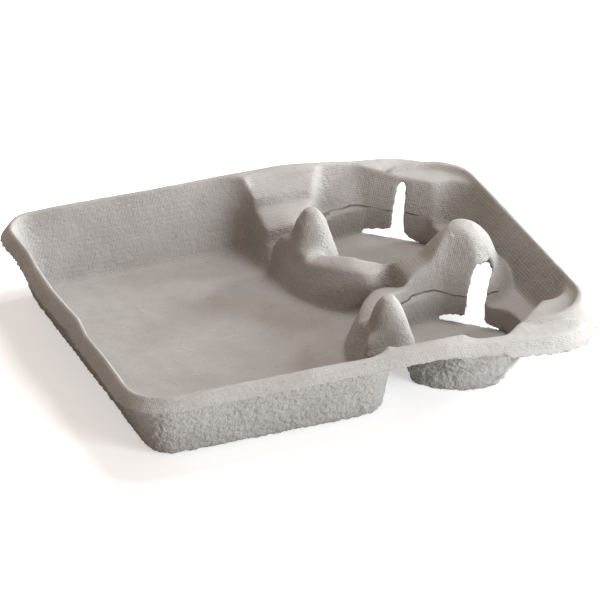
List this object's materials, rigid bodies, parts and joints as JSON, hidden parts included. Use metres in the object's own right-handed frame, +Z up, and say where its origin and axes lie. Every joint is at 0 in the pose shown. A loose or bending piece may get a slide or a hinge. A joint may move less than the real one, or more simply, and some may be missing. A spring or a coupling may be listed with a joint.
{
  "type": "moulded fibre cup carrier tray",
  "caption": "Moulded pulp take-away carrier tray with a food basin, cup sockets with slit gripping pads, posts and a rounded hump between the cups.",
  "frame": {"origin": "bottom centre of the tray's overall box, on the plane it stands on", "axes": "+X from the food basin to the cup end, +Y across the tray toward one socket, +Z up"},
  "size_m": [0.266, 0.2204, 0.0495],
  "materials": {
    "pulp": "matt, rough moulded fibre"
  },
  "bodies": {
    "root": {"carrier_tray": "pulp"}
  },
  "joints": []
}
